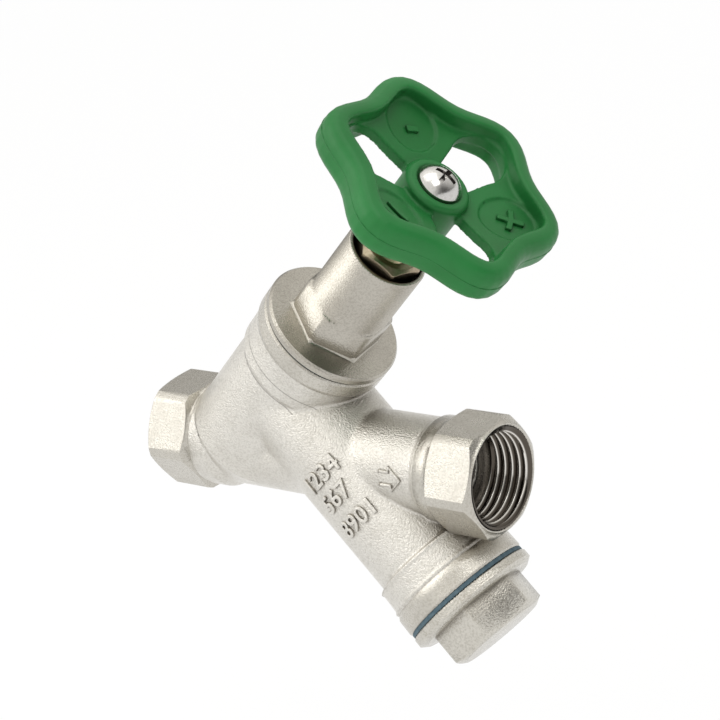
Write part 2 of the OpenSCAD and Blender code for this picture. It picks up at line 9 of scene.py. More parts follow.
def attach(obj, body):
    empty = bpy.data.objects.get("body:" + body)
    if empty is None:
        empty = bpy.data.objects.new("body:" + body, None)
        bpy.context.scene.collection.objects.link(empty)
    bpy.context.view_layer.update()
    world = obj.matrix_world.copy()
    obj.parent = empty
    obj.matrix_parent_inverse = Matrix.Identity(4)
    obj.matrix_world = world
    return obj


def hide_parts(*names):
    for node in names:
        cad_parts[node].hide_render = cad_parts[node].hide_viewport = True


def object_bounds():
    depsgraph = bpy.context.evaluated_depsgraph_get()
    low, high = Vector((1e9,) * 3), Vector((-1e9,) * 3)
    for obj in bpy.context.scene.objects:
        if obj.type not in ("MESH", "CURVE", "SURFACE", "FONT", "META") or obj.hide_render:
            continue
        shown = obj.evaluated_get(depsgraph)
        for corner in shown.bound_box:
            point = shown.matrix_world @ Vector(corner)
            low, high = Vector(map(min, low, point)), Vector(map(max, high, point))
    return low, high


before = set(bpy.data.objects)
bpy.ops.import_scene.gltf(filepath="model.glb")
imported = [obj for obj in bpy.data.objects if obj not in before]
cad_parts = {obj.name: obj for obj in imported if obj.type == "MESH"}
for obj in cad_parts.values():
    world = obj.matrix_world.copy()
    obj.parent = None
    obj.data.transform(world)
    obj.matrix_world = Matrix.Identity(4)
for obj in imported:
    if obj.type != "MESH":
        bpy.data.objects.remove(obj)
solid_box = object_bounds()

# Camera and studio
# The camera stands in front of the valve and a little above it, turned to the outlet's side. The floor
# and the low wall round it are pale paper, and the studio is brightest at the front left. The valve
# hangs free above the floor, which lies far enough below it for the strainer to be drawn out.
MM = 0.001
CAMERA_AZIMUTH = math.radians(39.964)
CAMERA_HEIGHT = math.radians(19.718)
CAMERA_ROLL = math.radians(-6.810)
CAMERA_DISTANCE = 449.298 * MM
CAMERA_TARGET = Vector((58.775, 0, 5.645)) * MM
FOCAL_PIXELS = 2155.094
OPTICAL_CENTRE = (385.572, 433.795)
PICTURE = 720
SENSOR = 36

back = Vector((
    math.sin(CAMERA_AZIMUTH) * math.cos(CAMERA_HEIGHT),
    -math.cos(CAMERA_AZIMUTH) * math.cos(CAMERA_HEIGHT),
    math.sin(CAMERA_HEIGHT),
))
level_right = Vector((math.cos(CAMERA_AZIMUTH), math.sin(CAMERA_AZIMUTH), 0))
level_up = back.cross(level_right)
right = level_right * math.cos(CAMERA_ROLL) + level_up * math.sin(CAMERA_ROLL)
up = level_up * math.cos(CAMERA_ROLL) - level_right * math.sin(CAMERA_ROLL)


def link(name, data):
    """Puts new data into the scene as an object at the origin."""
    made = bpy.data.objects.new(name, data)
    bpy.context.scene.collection.objects.link(made)
    return made


lens = bpy.data.cameras.new("camera")
lens.sensor_width = SENSOR
lens.lens = FOCAL_PIXELS * SENSOR / PICTURE
lens.shift_x = (PICTURE / 2 - OPTICAL_CENTRE[0]) / PICTURE
lens.shift_y = (OPTICAL_CENTRE[1] - PICTURE / 2) / PICTURE
lens.clip_start = 0.01
lens.clip_end = 50
camera = link("camera", lens)
camera.matrix_world = Matrix.Translation(CAMERA_TARGET + back * CAMERA_DISTANCE) @ Matrix((
    (right.x, up.x, back.x, 0),
    (right.y, up.y, back.y, 0),
    (right.z, up.z, back.z, 0),
    (0, 0, 0, 1),
))
bpy.context.scene.camera = camera
bpy.context.scene.view_settings.view_transform = "Standard"


class Socket:
    """A node's output that Python's operators can work on."""

    def __init__(self, tree, out):
        self.tree = tree
        self.out = out

    def beside(self, name):
        """Another output of the same node."""
        return Socket(self.tree, self.out.node.outputs[name])

    def math(self, operation, *values, **settings):
        return node(self.tree, "ShaderNodeMath", {"operation": operation, **settings}, *values)

    def __add__(self, other):
        return self.math("ADD", self, other)

    def __radd__(self, other):
        return self.math("ADD", other, self)

    def __sub__(self, other):
        return self.math("SUBTRACT", self, other)

    def __rsub__(self, other):
        return self.math("SUBTRACT", other, self)

    def __mul__(self, other):
        return self.math("MULTIPLY", self, other)

    def __rmul__(self, other):
        return self.math("MULTIPLY", other, self)

    def __pow__(self, other):
        return self.math("POWER", self, other)

    def __abs__(self):
        return self.math("ABSOLUTE", self)

    def least(self, other):
        return self.math("MINIMUM", self, other)

    def most(self, other):
        return self.math("MAXIMUM", self, other)

    def ramp(self, low, high):
        """0 at low, 1 at high, smooth between."""
        return node(self.tree, "ShaderNodeMapRange", {"interpolation_type": "SMOOTHSTEP"}, self, low, high)


def node(tree, kind, settings=None, *values, output=0, **sockets):
    """Adds a node, sets its settings, then its sockets by place or by name, and returns one output."""
    made = tree.nodes.new(kind)
    for key, value in (settings or {}).items():
        setattr(made, key, value)
    pairs = list(zip(made.inputs, values)) + [(made.inputs[k], v) for k, v in sockets.items()]
    for socket, value in pairs:
        if isinstance(value, Socket):
            tree.links.new(value.out, socket)
        elif value is not None:
            socket.default_value = value
    return Socket(tree, made.outputs[output]) if made.outputs else None


def along(tree, vector, axis):
    """How far a vector points along an axis."""
    return node(tree, "ShaderNodeVectorMath", {"operation": "DOT_PRODUCT"}, vector, tuple(axis), output=1)


world = bpy.data.worlds.new("studio")
bpy.context.scene.world = world
world.use_nodes = True
tree = world.node_tree
tree.nodes.clear()
direction = node(tree, "ShaderNodeTexCoord", output=0)
front_top = Vector((-0.25, -0.75, 0.6)).normalized()
behind_top = Vector((0.2, 0.6, 0.78)).normalized()
TENT_COLOUR = (1, 0.985, 0.955, 1)
TENT_BASE = 0.36
tent = TENT_BASE
for strength, toward, low, high in (
    (0.64, front_top, 0.1, 0.7),
    (0.26, -right, 0.25, 0.95),
    (0.75, behind_top, 0.4, 1.0),
    (-0.26, right, 0.1, 0.8),
):
    tent = tent + strength * along(tree, direction, toward).ramp(low, high)
background = node(tree, "ShaderNodeBackground", None, TENT_COLOUR, tent)
node(tree, "ShaderNodeOutputWorld", None, background)

LAMP_DISTANCE = 0.7


def add_lamp(name, toward, width, height, power):
    """An area lamp that looks at the camera's target from one direction."""
    light = bpy.data.lights.new(name, "AREA")
    light.shape = "RECTANGLE"
    light.size = width
    light.size_y = height
    light.energy = power
    lamp = link(name, light)
    offset = toward.normalized() * LAMP_DISTANCE
    turn = offset.to_track_quat("Z", "Y").to_matrix().to_4x4()
    lamp.matrix_world = Matrix.Translation(CAMERA_TARGET + offset) @ turn


add_lamp("left_softbox", -right * 1.0 + up * 0.45 + back * 0.35, 0.45, 0.6, 1.2)
add_lamp("top_softbox", up * 1.0 + back * 0.5 - right * 0.1, 0.5, 0.4, 0.4)
add_lamp("right_softbox", Vector((0.52, -0.21, 0.79)), 0.25, 0.25, 0.4)


def start_material(name):
    """A new material with no nodes, and its tree."""
    material = bpy.data.materials.new(name)
    material.use_nodes = True
    tree = material.node_tree
    tree.nodes.clear()
    return material, tree


def close_material(tree, shader):
    node(tree, "ShaderNodeOutputMaterial", None, shader)


# To the camera and in reflections the paper glows almost plain white. It lights the valve as dull paper.
FLOOR_GAP = 40 * MM
WALL_RADIUS = 3.0
WALL_HEIGHT = 0.5
PAPER_GLOW = 0.92
floor_z = solid_box[0][2] - FLOOR_GAP
paper, tree = start_material("white_paper")
sheet = node(tree, "ShaderNodeBsdfDiffuse", None, (0.90, 0.90, 0.90, 1))
glow = node(tree, "ShaderNodeEmission", None, (1, 1, 1, 1), 1.0)
seen = node(tree, "ShaderNodeLightPath", output="Is Camera Ray")
seen = seen.most(seen.beside("Is Glossy Ray")).most(seen.beside("Is Transmission Ray"))
close_material(tree, node(tree, "ShaderNodeMixShader", None, seen * PAPER_GLOW, sheet, glow))
bm = bmesh.new()
bmesh.ops.create_circle(bm, cap_ends=True, segments=64, radius=WALL_RADIUS)
rim = [edge for edge in bm.edges if edge.is_boundary]
raised = bmesh.ops.extrude_edge_only(bm, edges=rim)["geom"]
for part in raised:
    if isinstance(part, bmesh.types.BMVert):
        part.co.z = WALL_HEIGHT
bmesh.ops.recalc_face_normals(bm, faces=bm.faces)
bmesh.ops.translate(bm, verts=bm.verts, vec=(CAMERA_TARGET.x, 0, floor_z))
floor_mesh = bpy.data.meshes.new("floor")
bm.to_mesh(floor_mesh)
bm.free()
floor_mesh.materials.append(paper)
link("floor", floor_mesh)

# Cast and turned body
# A brass casting, nickel plated over a fine blasted grain. Both hexagon ends, the collars and the joint
# faces are turned; the necks, the two barrels and their junctions are as cast, with soft fillets.
S45 = math.sqrt(0.5)
FACE_TO_FACE = 88
PIPE_MIDDLE = FACE_TO_FACE / 2
VALVE_X = 19.6
STRAINER_X = 48.3
VALVE_AXIS = Vector((S45, 0, S45))
STRAINER_AXIS = Vector((S45, 0, -S45))
NECK_R = 10.45
VALVE_R = 13.4
STRAINER_R = 13.0


def smooth_mesh(name, bm, crisp=None):
    """Ends a bmesh as a mesh with smooth faces, and sharp edges from an angle in degrees on."""
    mesh = bpy.data.meshes.new(name)
    bm.to_mesh(mesh)
    bm.free()
    for polygon in mesh.polygons:
        polygon.use_smooth = True
    if crisp:
        mesh.set_sharp_from_angle(angle=math.radians(crisp))
    return mesh


def cad_copy(name, node_name, keep=None):
    """A merged copy of a node's mesh with smooth curved faces and crisp edges."""
    bm = bmesh.new()
    bm.from_mesh(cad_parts[node_name].data)
    if keep:
        away = [f for f in bm.faces if not keep(f)]
        bmesh.ops.delete(bm, geom=away, context="FACES")
    bmesh.ops.remove_doubles(bm, verts=bm.verts, dist=0.002 * MM)
    return link(name, smooth_mesh(name, bm, crisp=14))


def mix_colour(tree, factor, first, second):
    """A blend of two colours, each a socket or three numbers."""
    ends = [c if isinstance(c, Socket) else (*c, 1) for c in (first, second)]
    return node(tree, "ShaderNodeMix", {"data_type": "RGBA"}, factor, *[None] * 5, *ends, output=2)


def bump_of(tree, height, depth_mm, normal=None):
    depth = depth_mm * MM
    return node(tree, "ShaderNodeBump", None, Strength=1.0, Distance=depth, Height=height, Normal=normal)


# Dark colours that paint shade: in sheltered corners, and deep in bores, mouths and thread grooves.
CORNER_SHADE_COLOUR = (0.13, 0.11, 0.085)
DEEP_SHADE_COLOUR = (0.06, 0.048, 0.036)


def metal(name, bright, dark, roughness, grain, grain_size, tarnish=0.4, edge=0.12, painted_shade=None, corner_shade=0.5,
          reach=2.2):
    """A metal in two tones, plated or bare. Lengths are in millimetres.

    grain and grain_size are the blasted grain's height and width, tarnish is how much of the dark tone
    shows, edge is the round of its corners, soot is a function that says where shade is painted dark, and
    grime and reach are how dark shade is painted in sheltered corners and how far from a neighbour it
    starts.
    """
    material, tree = start_material(name)
    place = node(tree, "ShaderNodeTexCoord", output=3)
    coarse = node(tree, "ShaderNodeTexNoise", None, place, Scale=140.0, Detail=3.0, Roughness=0.6)
    fine = node(tree, "ShaderNodeTexNoise", None, place, Scale=1.0 / (grain_size * MM), Detail=3.0)
    spots = node(tree, "ShaderNodeTexNoise", None, place, Scale=2200.0, Detail=3.0)
    wear = coarse.ramp(0.4, 0.7) * (tarnish * 0.5) + (1 - spots.ramp(0.36, 0.56)) * tarnish
    colour = mix_colour(tree, wear, bright, dark)
    # Painted shade: the colour darkens where ambient occlusion finds a neighbour near.
    corner = node(tree, "ShaderNodeAmbientOcclusion", {"samples": 6}, None, reach * MM, output=1)
    colour = mix_colour(tree, (1 - corner.ramp(0.2, 0.9)) * corner_shade, colour, CORNER_SHADE_COLOUR)
    # Painted shade where the given function says: in bores, mouths, grooves and along the barrel's fine
    # lines.
    if painted_shade:
        colour = mix_colour(tree, painted_shade(tree, place), colour, DEEP_SHADE_COLOUR)
    rough = roughness + 0.1 * (coarse - 0.5) + 0.08 * (fine - 0.5)
    soft = node(tree, "ShaderNodeBevel", {"samples": 6}, edge * MM)
    bump = bump_of(tree, fine.ramp(0.25, 0.75), grain, soft)
    close_material(tree, node(tree, "ShaderNodeBsdfPrincipled", None, **{
        "Base Color": colour, "Metallic": 1.0, "Roughness": rough, "Normal": bump}))
    return material


def in_mm(tree, place):
    """A place's three coordinates in millimetres."""
    scaled = node(tree, "ShaderNodeVectorMath", {"operation": "SCALE"}, place, None, None, 1 / MM)
    split = node(tree, "ShaderNodeSeparateXYZ", None, scaled)
    return [split.beside(axis) for axis in "XYZ"]


def length_of(a, b):
    return (a * a + b * b) ** 0.5


def axis_places(tree, place, start_x, axis):
    """Distance along a branch's axis and distance from it, in millimetres, at each point."""
    x, y, z = in_mm(tree, place)
    t = (x - start_x) * axis.x + z * axis.z
    side = (x - start_x) * axis.z - z * axis.x
    return t, length_of(side, y)


def mould_line_shade(tree, place):
    """Fine dark lines painted on the valve barrel where the mould's core print met it, as the shade of
    that line.
    """
    t, r = axis_places(tree, place, VALVE_X, VALVE_AXIS)
    first, second = (1 - abs(t - at).ramp(0.05, 0.17) for at in (25.9, 29.6))
    return first.most(second) * r.ramp(12.6, 13.0) * (1 - r.ramp(14.55, 14.8)) * 0.5


def bore_shade(tree, place):
    """Shade painted dark on the wall of the threaded bores, clear on the outside."""
    x, y, z = in_mm(tree, place)
    return (1 - length_of(y, z).ramp(10.5, 10.75)) * 0.85


nickel_cast = metal(
    "nickel_cast", (0.75, 0.725, 0.67), (0.46, 0.435, 0.38), roughness=0.30, grain=0.09, grain_size=0.34,
    tarnish=0.35, edge=0.3, painted_shade=mould_line_shade, corner_shade=0.85, reach=9)
nickel_milled = metal(
    "nickel_milled", (0.60, 0.575, 0.52), (0.40, 0.375, 0.32), roughness=0.28, grain=0.03, grain_size=0.3,
    painted_shade=bore_shade, corner_shade=0.6, reach=5)
VALVE_JOINT = 34.4
STRAINER_JOINT = 33.6
INLET_HEX_END = 15.6
OUTLET_HEX_START = 72.4
HEX_REACH = 14


def is_turned(face):
    """Is this face of the body one of the turned ends, collars or joint faces?"""
    places = [v.co / MM for v in face.verts]
    if min((c.x - VALVE_X + c.z) * S45 for c in places) > VALVE_JOINT:
        return True
    if min((c.x - STRAINER_X - c.z) * S45 for c in places) > STRAINER_JOINT:
        return True
    middle = face.calc_center_median() / MM
    off = Vector((middle.x - VALVE_X, middle.y, middle.z))
    off -= VALVE_AXIS * off.dot(VALVE_AXIS)
    on_barrel = abs(off.length - VALVE_R) < 0.2 and face.normal.dot(off.normalized()) > 0.97
    at_end = middle.x < INLET_HEX_END or middle.x > OUTLET_HEX_START
    return at_end and not on_barrel and math.hypot(middle.y, middle.z) < HEX_REACH


body_trim = cad_copy("body_turned_faces", "valve_body", keep=is_turned)
body_trim.data.materials.append(nickel_milled)

# The casting is the smooth union of the pipe run and the two barrels, less its passages.
cast = bpy.data.node_groups.new("cast_skin", "GeometryNodeTree")
cast.interface.new_socket("Geometry", in_out="OUTPUT", socket_type="NodeSocketGeometry")
fillet_input = cast.interface.new_socket("Fillet", in_out="INPUT", socket_type="NodeSocketFloat")
voxel_input = cast.interface.new_socket("Voxels per mm", in_out="INPUT", socket_type="NodeSocketFloat")
fillet = node(cast, "NodeGroupInput", output="Fillet")
per_mm = fillet.beside("Voxels per mm")
place = node(cast, "GeometryNodeInputPosition")
x, y, z = in_mm(cast, place)
along_valve, from_valve = axis_places(cast, place, VALVE_X, VALVE_AXIS)
along_strainer, from_strainer = axis_places(cast, place, STRAINER_X, STRAINER_AXIS)
from_pipe = length_of(y, z)

# Outside: the necks with their collars, then each barrel with its stepped mouth and cast ridges. A step
# is its rise, then where along the axis it starts and ends.
NECK_REACH = 32
INLET_COLLAR_RISE = 1.15
INLET_COLLAR_EDGE = (16.4, 18.8)
OUTLET_COLLAR = ((0.5, 72.0, 73.2),)
VALVE_STEPS = ((0.78, 25.9, 27.3), (0.15, 28, 35))
VALVE_FOOT = 1
VALVE_MOUTH = 38.6
STRAINER_STEPS = ((0.95, 27.2, 28.2), (0.2, 28.5, 33.6), (0.5, 33.8, 34.7))
STRAINER_RIDGES = (27.9, 33.2)
STRAINER_RIDGE_RISE = 0.40
STRAINER_FOOT = -18
STRAINER_MOUTH = 38.2
NECK_FILLET_SHARE = 0.8


def stepped(radius, steps, distance):
    """A radius that grows along an axis by smooth steps."""
    for rise, start, end in steps:
        radius = radius + rise * distance.ramp(start, end)
    return radius


neck_r = NECK_R + INLET_COLLAR_RISE * (1 - x.ramp(*INLET_COLLAR_EDGE))
neck = (from_pipe - stepped(neck_r, OUTLET_COLLAR, x)).most(abs(x - PIPE_MIDDLE) - NECK_REACH)
foot_bevel = 0.78 * (from_valve - VALVE_R) - 0.625 * (along_valve - VALVE_FOOT)
valve = (from_valve - stepped(VALVE_R, VALVE_STEPS, along_valve)).most(foot_bevel)
valve = valve.most(along_valve - VALVE_MOUTH)
strainer_r = stepped(STRAINER_R, STRAINER_STEPS, along_strainer)
for ridge_place in STRAINER_RIDGES:
    fall = abs(along_strainer - ridge_place).ramp(0.05, 0.5)
    strainer_r = strainer_r + STRAINER_RIDGE_RISE * (1 - fall)
strainer = (from_strainer - strainer_r).most(STRAINER_FOOT - along_strainer)
strainer = strainer.most(along_strainer - STRAINER_MOUTH)
outside = neck.math("SMOOTH_MIN", neck, valve, fillet * NECK_FILLET_SHARE)
outside = outside.math("SMOOTH_MIN", outside, strainer, fillet)

# Inside: the two flow passages, then the rooms of each barrel. A room is its radius, then where along
# the barrel's axis it starts.
FLOW_R = 7.5
INLET_WAY_START = 9
INLET_WAY_ROOF = 2.5
OUTLET_WAY_START = 36.3
OUTLET_WAY_FLOOR = -1
VALVE_ROOMS = ((8.25, 1.5), (10.6, 5), (11.95, 26))
STRAINER_ROOMS = ((8.34, -12.3), (10.4, -1), (11.3, 31))
flow = from_pipe - FLOW_R
hollow = flow.most(along_valve - INLET_WAY_ROOF).most(INLET_WAY_START - x)
hollow = hollow.least(flow.most(OUTLET_WAY_FLOOR - along_strainer).most(OUTLET_WAY_START - x))
for from_axis, along_axis, rooms in (
    (from_valve, along_valve, VALVE_ROOMS),
    (from_strainer, along_strainer, STRAINER_ROOMS),
):
    for radius, start in rooms:
        hollow = hollow.least((from_axis - radius).most(start - along_axis))
shell = outside.most(0 - hollow)
density = shell.math("MULTIPLY_ADD", shell, -0.5, 0.5, use_clamp=True)

CAST_LOW = Vector((8, -16, -38))
CAST_HIGH = Vector((84, 16, 44))
cells = {"Resolution " + axis: per_mm * size for axis, size in zip("XYZ", CAST_HIGH - CAST_LOW)}
cube = node(cast, "GeometryNodeVolumeCube", None, Density=density, Background=0.0, Min=CAST_LOW * MM,
            Max=CAST_HIGH * MM, **cells)
by_grid = {"resolution_mode": "GRID"}
skin = node(cast, "GeometryNodeVolumeToMesh", by_grid, cube, Threshold=0.5, Adaptivity=0.0)
skin = node(cast, "GeometryNodeSetShadeSmooth", None, skin)
skin = node(cast, "GeometryNodeSetMaterial", None, skin, Material=nickel_cast)
node(cast, "NodeGroupOutput", None, skin)


def plain_mesh(piece):
    """What a piece's modifiers or curve make, as a plain mesh."""
    return bpy.data.meshes.new_from_object(piece.evaluated_get(bpy.context.evaluated_depsgraph_get()))


def settle(piece):
    """Keeps what a piece's modifiers make and takes them off."""
    mesh = plain_mesh(piece)
    piece.modifiers.clear()
    piece.data = mesh


CAST_FILLET = 0.8
CAST_VOXELS_PER_MM = 3.0
KEPT_FACES = 0.46
casting = link("body_casting", bpy.data.meshes.new("body_casting"))
growth = casting.modifiers.new("cast_skin", "NODES")
growth.node_group = cast
growth[fillet_input.identifier] = CAST_FILLET
growth[voxel_input.identifier] = CAST_VOXELS_PER_MM
settle(casting)
casting.modifiers.new("fewer_faces", "DECIMATE").ratio = KEPT_FACES
settle(casting)

# Pipe threads
# An internal pipe thread is cut in the casting at each port: bright crests, and grooves painted dark as
# shade.
# Each is a ridge wound on the wall of the plain bore, cut away by a cone at the bore's mouth.
THREAD_R = 10.4775
THREAD_CREST_R = 9.32
THREAD_PITCH = 1.814
THREAD_LENGTH = 10.4
THREAD_OVERRUN = 0.2
THREAD_BURIED = 0.1
THREAD_FADE = 0.4
MOUTH_CONE = 0.9
MOUTH_GAP = 0.05
STEPS_PER_TURN = 96
RIDGE_PROFILE = (
    (-0.5, 0.0), (-0.36, 0.12), (-0.13, 0.95), (-0.07, 1.0),
    (0.07, 1.0), (0.13, 0.95), (0.36, 0.12), (0.5, 0.0),
)


def wound_ridge(name, start, end, mouth):
    """A helical ridge inside a bore along X, from start to end. It fades in and out along the wall."""
    count = int(abs(end - start) / THREAD_PITCH * STEPS_PER_TURN)
    step = (end - start) / count
    wall_r = THREAD_R + THREAD_BURIED
    inward = 1 if mouth < PIPE_MIDDLE else -1
    bm = bmesh.new()
    rows = []
    for i in range(count + 1):
        run = i / STEPS_PER_TURN
        rise = min(1.0, run / THREAD_FADE, (count - i) / STEPS_PER_TURN / THREAD_FADE)
        angle = 2 * math.pi * run
        row = []
        for offset, height in RIDGE_PROFILE:
            depth = max(MOUTH_GAP, (start + step * i + offset * THREAD_PITCH - mouth) * inward)
            r = wall_r - (wall_r - THREAD_CREST_R) * height * rise
            r = max(r, THREAD_CREST_R + MOUTH_CONE - depth)
            at = mouth + depth * inward
            row.append(bm.verts.new(Vector((at, r * math.sin(angle), r * math.cos(angle))) * MM))
        rows.append(row)
    for first, second in zip(rows, rows[1:]):
        for j in range(len(RIDGE_PROFILE) - 1):
            bm.faces.new((first[j], second[j], second[j + 1], first[j + 1]))
    for row in (rows[0], rows[-1]):
        bm.faces.new(row)
    bmesh.ops.recalc_face_normals(bm, faces=bm.faces)
    return link(name, smooth_mesh(name, bm, crisp=50))


def groove_shade(tree, place):
    """Shade painted dark in the thread's grooves, clear on its crests."""
    x, y, z = in_mm(tree, place)
    return length_of(y, z).ramp(9.4, 9.75) * 0.95


nickel_thread = metal(
    "nickel_thread", (0.80, 0.77, 0.72), (0.62, 0.59, 0.53), roughness=0.16, grain=0.002, grain_size=0.3,
    tarnish=0.2, edge=0.06, painted_shade=groove_shade)
outlet_ridge = wound_ridge(
    "outlet_thread_ridge", FACE_TO_FACE - THREAD_LENGTH, FACE_TO_FACE + THREAD_OVERRUN, FACE_TO_FACE)
inlet_ridge = wound_ridge("inlet_thread_ridge", -THREAD_OVERRUN, THREAD_LENGTH, 0)
for ridge in (outlet_ridge, inlet_ridge):
    ridge.data.materials.append(nickel_thread)

# Cast digits and arrow
# Raised marks of the casting: three rows of plain digits on the strainer barrel and a flow arrow on the
# outlet neck. They stand about half a millimetre proud, with worn edges.
MARK_HEIGHT = 0.36
MARK_ROUND = 0.12
DIGIT_SIZE = 5.3


def bent(name, mesh, bend, material):
    """A flat page's mesh, each point of it carried to the surface by bend."""
    bm = bmesh.new()
    bm.from_mesh(mesh)
    long_edges = [e for e in bm.edges if e.calc_length() > 0.8]
    bmesh.ops.subdivide_edges(bm, edges=long_edges, cuts=2)
    for vert in bm.verts:
        vert.co = bend(vert.co) * MM
    bmesh.ops.remove_doubles(bm, verts=bm.verts, dist=0.001 * MM)
    bmesh.ops.recalc_face_normals(bm, faces=bm.faces)
    bm.to_mesh(mesh)
    bm.free()
    mesh.materials.clear()
    mesh.materials.append(material)
    return link(name, mesh)


def page_mesh(curve):
    """The mesh of text or of a curve on a flat page."""
    page = link(curve.name + "_page", curve)
    mesh = plain_mesh(page)
    bpy.data.objects.remove(page)
    return mesh


def raised_text(name, words, size, bend, material):
    """Raised words, carried to the surface by bend."""
    curve = bpy.data.curves.new(name, "FONT")
    curve.body = words
    curve.size = size
    curve.extrude = MARK_HEIGHT
    curve.bevel_depth = MARK_ROUND
    curve.bevel_resolution = 2
    curve.align_x = "CENTER"
    curve.align_y = "CENTER"
    curve.space_character = 1.08
    curve.resolution_u = 6
    return bent(name, page_mesh(curve), bend, material)


def on_strainer(distance, middle):
    """Wraps a page on the front of the strainer barrel, with its top towards the pipe."""
    def bend(place):
        angle = math.radians(middle) + place.x / STRAINER_R
        outward = Vector((0, -math.cos(angle), 0)) + VALVE_AXIS * math.sin(angle)
        start = Vector((STRAINER_X, 0, 0)) + STRAINER_AXIS * (distance - place.y)
        return start + outward * (STRAINER_R + place.z)
    return bend


def on_neck(place):
    """Wraps a page on the outlet neck, seen from the front."""
    angle = place.y / NECK_R
    r = NECK_R + place.z
    return Vector((place.x, -r * math.cos(angle), r * math.sin(angle)))


marks = [
    raised_text("digits_" + row, digits, DIGIT_SIZE, on_strainer(distance, middle), nickel_cast)
    for row, digits, distance, middle in (
        ("upper", "1234", 1.9, 6),
        ("middle", "567", 7.5, 4),
        ("lower", "8901", 13.9, 8),
    )
]
ARROW = ((64.4, 2.0), (66.7, 2.0), (66.9, 3.0), (69.7, 0.6), (67.4, -1.9), (67.2, -0.8), (64.3, -0.9))
ARROW_STROKE_R = 0.42
ARROW_LIFT = 0.02
stroke = bpy.data.curves.new("flow_arrow", "CURVE")
stroke.dimensions = "3D"
stroke.bevel_depth = ARROW_STROKE_R
stroke.bevel_resolution = 3
stroke.use_fill_caps = True
line = stroke.splines.new("POLY")
line.points.add(len(ARROW) - 1)
for point, (px, pz) in zip(line.points, ARROW):
    point.co = (px, pz, ARROW_LIFT, 1)
marks.append(bent("flow_arrow", page_mesh(stroke), on_neck, nickel_cast))

for piece in (body_trim, casting, outlet_ridge, inlet_ridge, *marks):
    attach(piece, "body")
for piece in (body_trim, casting):
    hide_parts("valve_body")

# Bonnet, gland, seat, stem, carrier and cap
# The bonnet is turned from bar: flange, hexagon and plain sleeve in one, with shade painted dark inside
# its mouth. The brass gland nut sits in that mouth, a little darker all over and with shade painted at its
# foot, and seat, stem and carrier are turned brass inside the valve. The cap is a nickel-plated casting
# with a blasted grain, screwed into the strainer barrel.


def mouth_shade(tree, place):
    """Shade painted dark inside the sleeve's mouth, clear outside."""
    t, r = axis_places(tree, place, VALVE_X, VALVE_AXIS)
    return (1 - r.ramp(8.0, 8.25)) * t.ramp(57.0, 58.0) * 0.72


def nut_tone_and_foot_shade(tree, place):
    """A slightly darker tone all over the gland nut, and shade painted dark at its foot."""
    t, r = axis_places(tree, place, VALVE_X, VALVE_AXIS)
    return 0.25 + 0.6 * (1 - t.ramp(61.5, 64.5))


nickel_turned = metal(
    "nickel_turned", (0.49, 0.465, 0.41), (0.35, 0.325, 0.28), roughness=0.23, grain=0.03, grain_size=0.3,
    painted_shade=mouth_shade, corner_shade=0.2)
brass_turned = metal(
    "brass_turned", (0.60, 0.50, 0.36), (0.40, 0.31, 0.20), roughness=0.3, grain=0.01, grain_size=0.3,
    edge=0.15, painted_shade=nut_tone_and_foot_shade)
brass_inside = metal(
    "brass_inside", (0.66, 0.54, 0.36), (0.45, 0.35, 0.20), roughness=0.3, grain=0.01, grain_size=0.3,
    edge=0.15)
nickel_cap = metal(
    "nickel_cap", (0.63, 0.605, 0.545), (0.37, 0.345, 0.295), roughness=0.22, grain=0.05, grain_size=0.36,
    corner_shade=0.9, reach=4)
for name, source, body, material, slot in (
    ("bonnet_shell", "bonnet", "body", nickel_turned, "nickel_turned"),
    ("gland_nut_shell", "gland_nut", "body", brass_turned, "bare_brass"),
    ("gland_ring_shell", "gland_ring", "body", brass_inside, "bare_brass"),
    ("seat_shell", "valve_seat", "body", brass_inside, "bare_brass"),
    ("stem_shell", "stem", "wheel", brass_inside, "bare_brass"),
    ("carrier_shell", "disc_carrier", "disc", brass_inside, "bare_brass"),
    ("cap_shell", "strainer_cap", "cap", nickel_cap, "nickel_turned"),
):
    shell = cad_copy(name, source)
    shell.data.materials.append(material)
    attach(shell, body)
    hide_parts(source)

# Handwheel screw
# A polished stainless pan-head screw holds the handwheel down on the stem. Its cross recess is pressed in,
# and shade is painted dark in it.
steel = metal(
    "stainless_steel", (0.62, 0.61, 0.59), (0.46, 0.44, 0.41), roughness=0.18, grain=0.004, grain_size=0.4,
    tarnish=0.3, edge=0.1)


def flecked(name, scale, detail, first, second, roughness, bump=0.0, metallic=0.0, low=0.0, high=1.0):
    """A plain stuff with flecks of two colours, from which a fine bump may follow."""
    material, tree = start_material(name)
    place = node(tree, "ShaderNodeTexCoord", output=3)
    fleck = node(tree, "ShaderNodeTexNoise", None, place, Scale=scale, Detail=detail)
    share = fleck.ramp(low, high) if low else fleck
    close_material(tree, node(tree, "ShaderNodeBsdfPrincipled", None, **{
        "Base Color": mix_colour(tree, share, first, second), "Metallic": metallic, "Roughness": roughness,
        "Normal": bump_of(tree, fleck, bump) if bump else None}))
    return material


# The cross recess is painted near black as shade.
recess = flecked("recess_grime", 1800.0, 2.0, (0.035, 0.03, 0.026), (0.10, 0.09, 0.08), 0.5, metallic=0.6)
RECESS_R = 2.4
RECESS_FOOT = 84.5
RECESS_FLOOR = 86.2
screw = cad_copy("screw_shell", "handwheel_screw")
screw.data.materials.append(steel)
screw.data.materials.append(recess)
for polygon in screw.data.polygons:
    c = polygon.center / MM
    t = (c.x - VALVE_X + c.z) * S45
    r = math.hypot((c.x - VALVE_X - c.z) * S45, c.y)
    sunk = polygon.normal.dot(VALVE_AXIS) < 0.6 or t < RECESS_FLOOR
    if r < RECESS_R and t > RECESS_FOOT and sunk:
        polygon.material_index = 1
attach(screw, "wheel")
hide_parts("handwheel_screw")

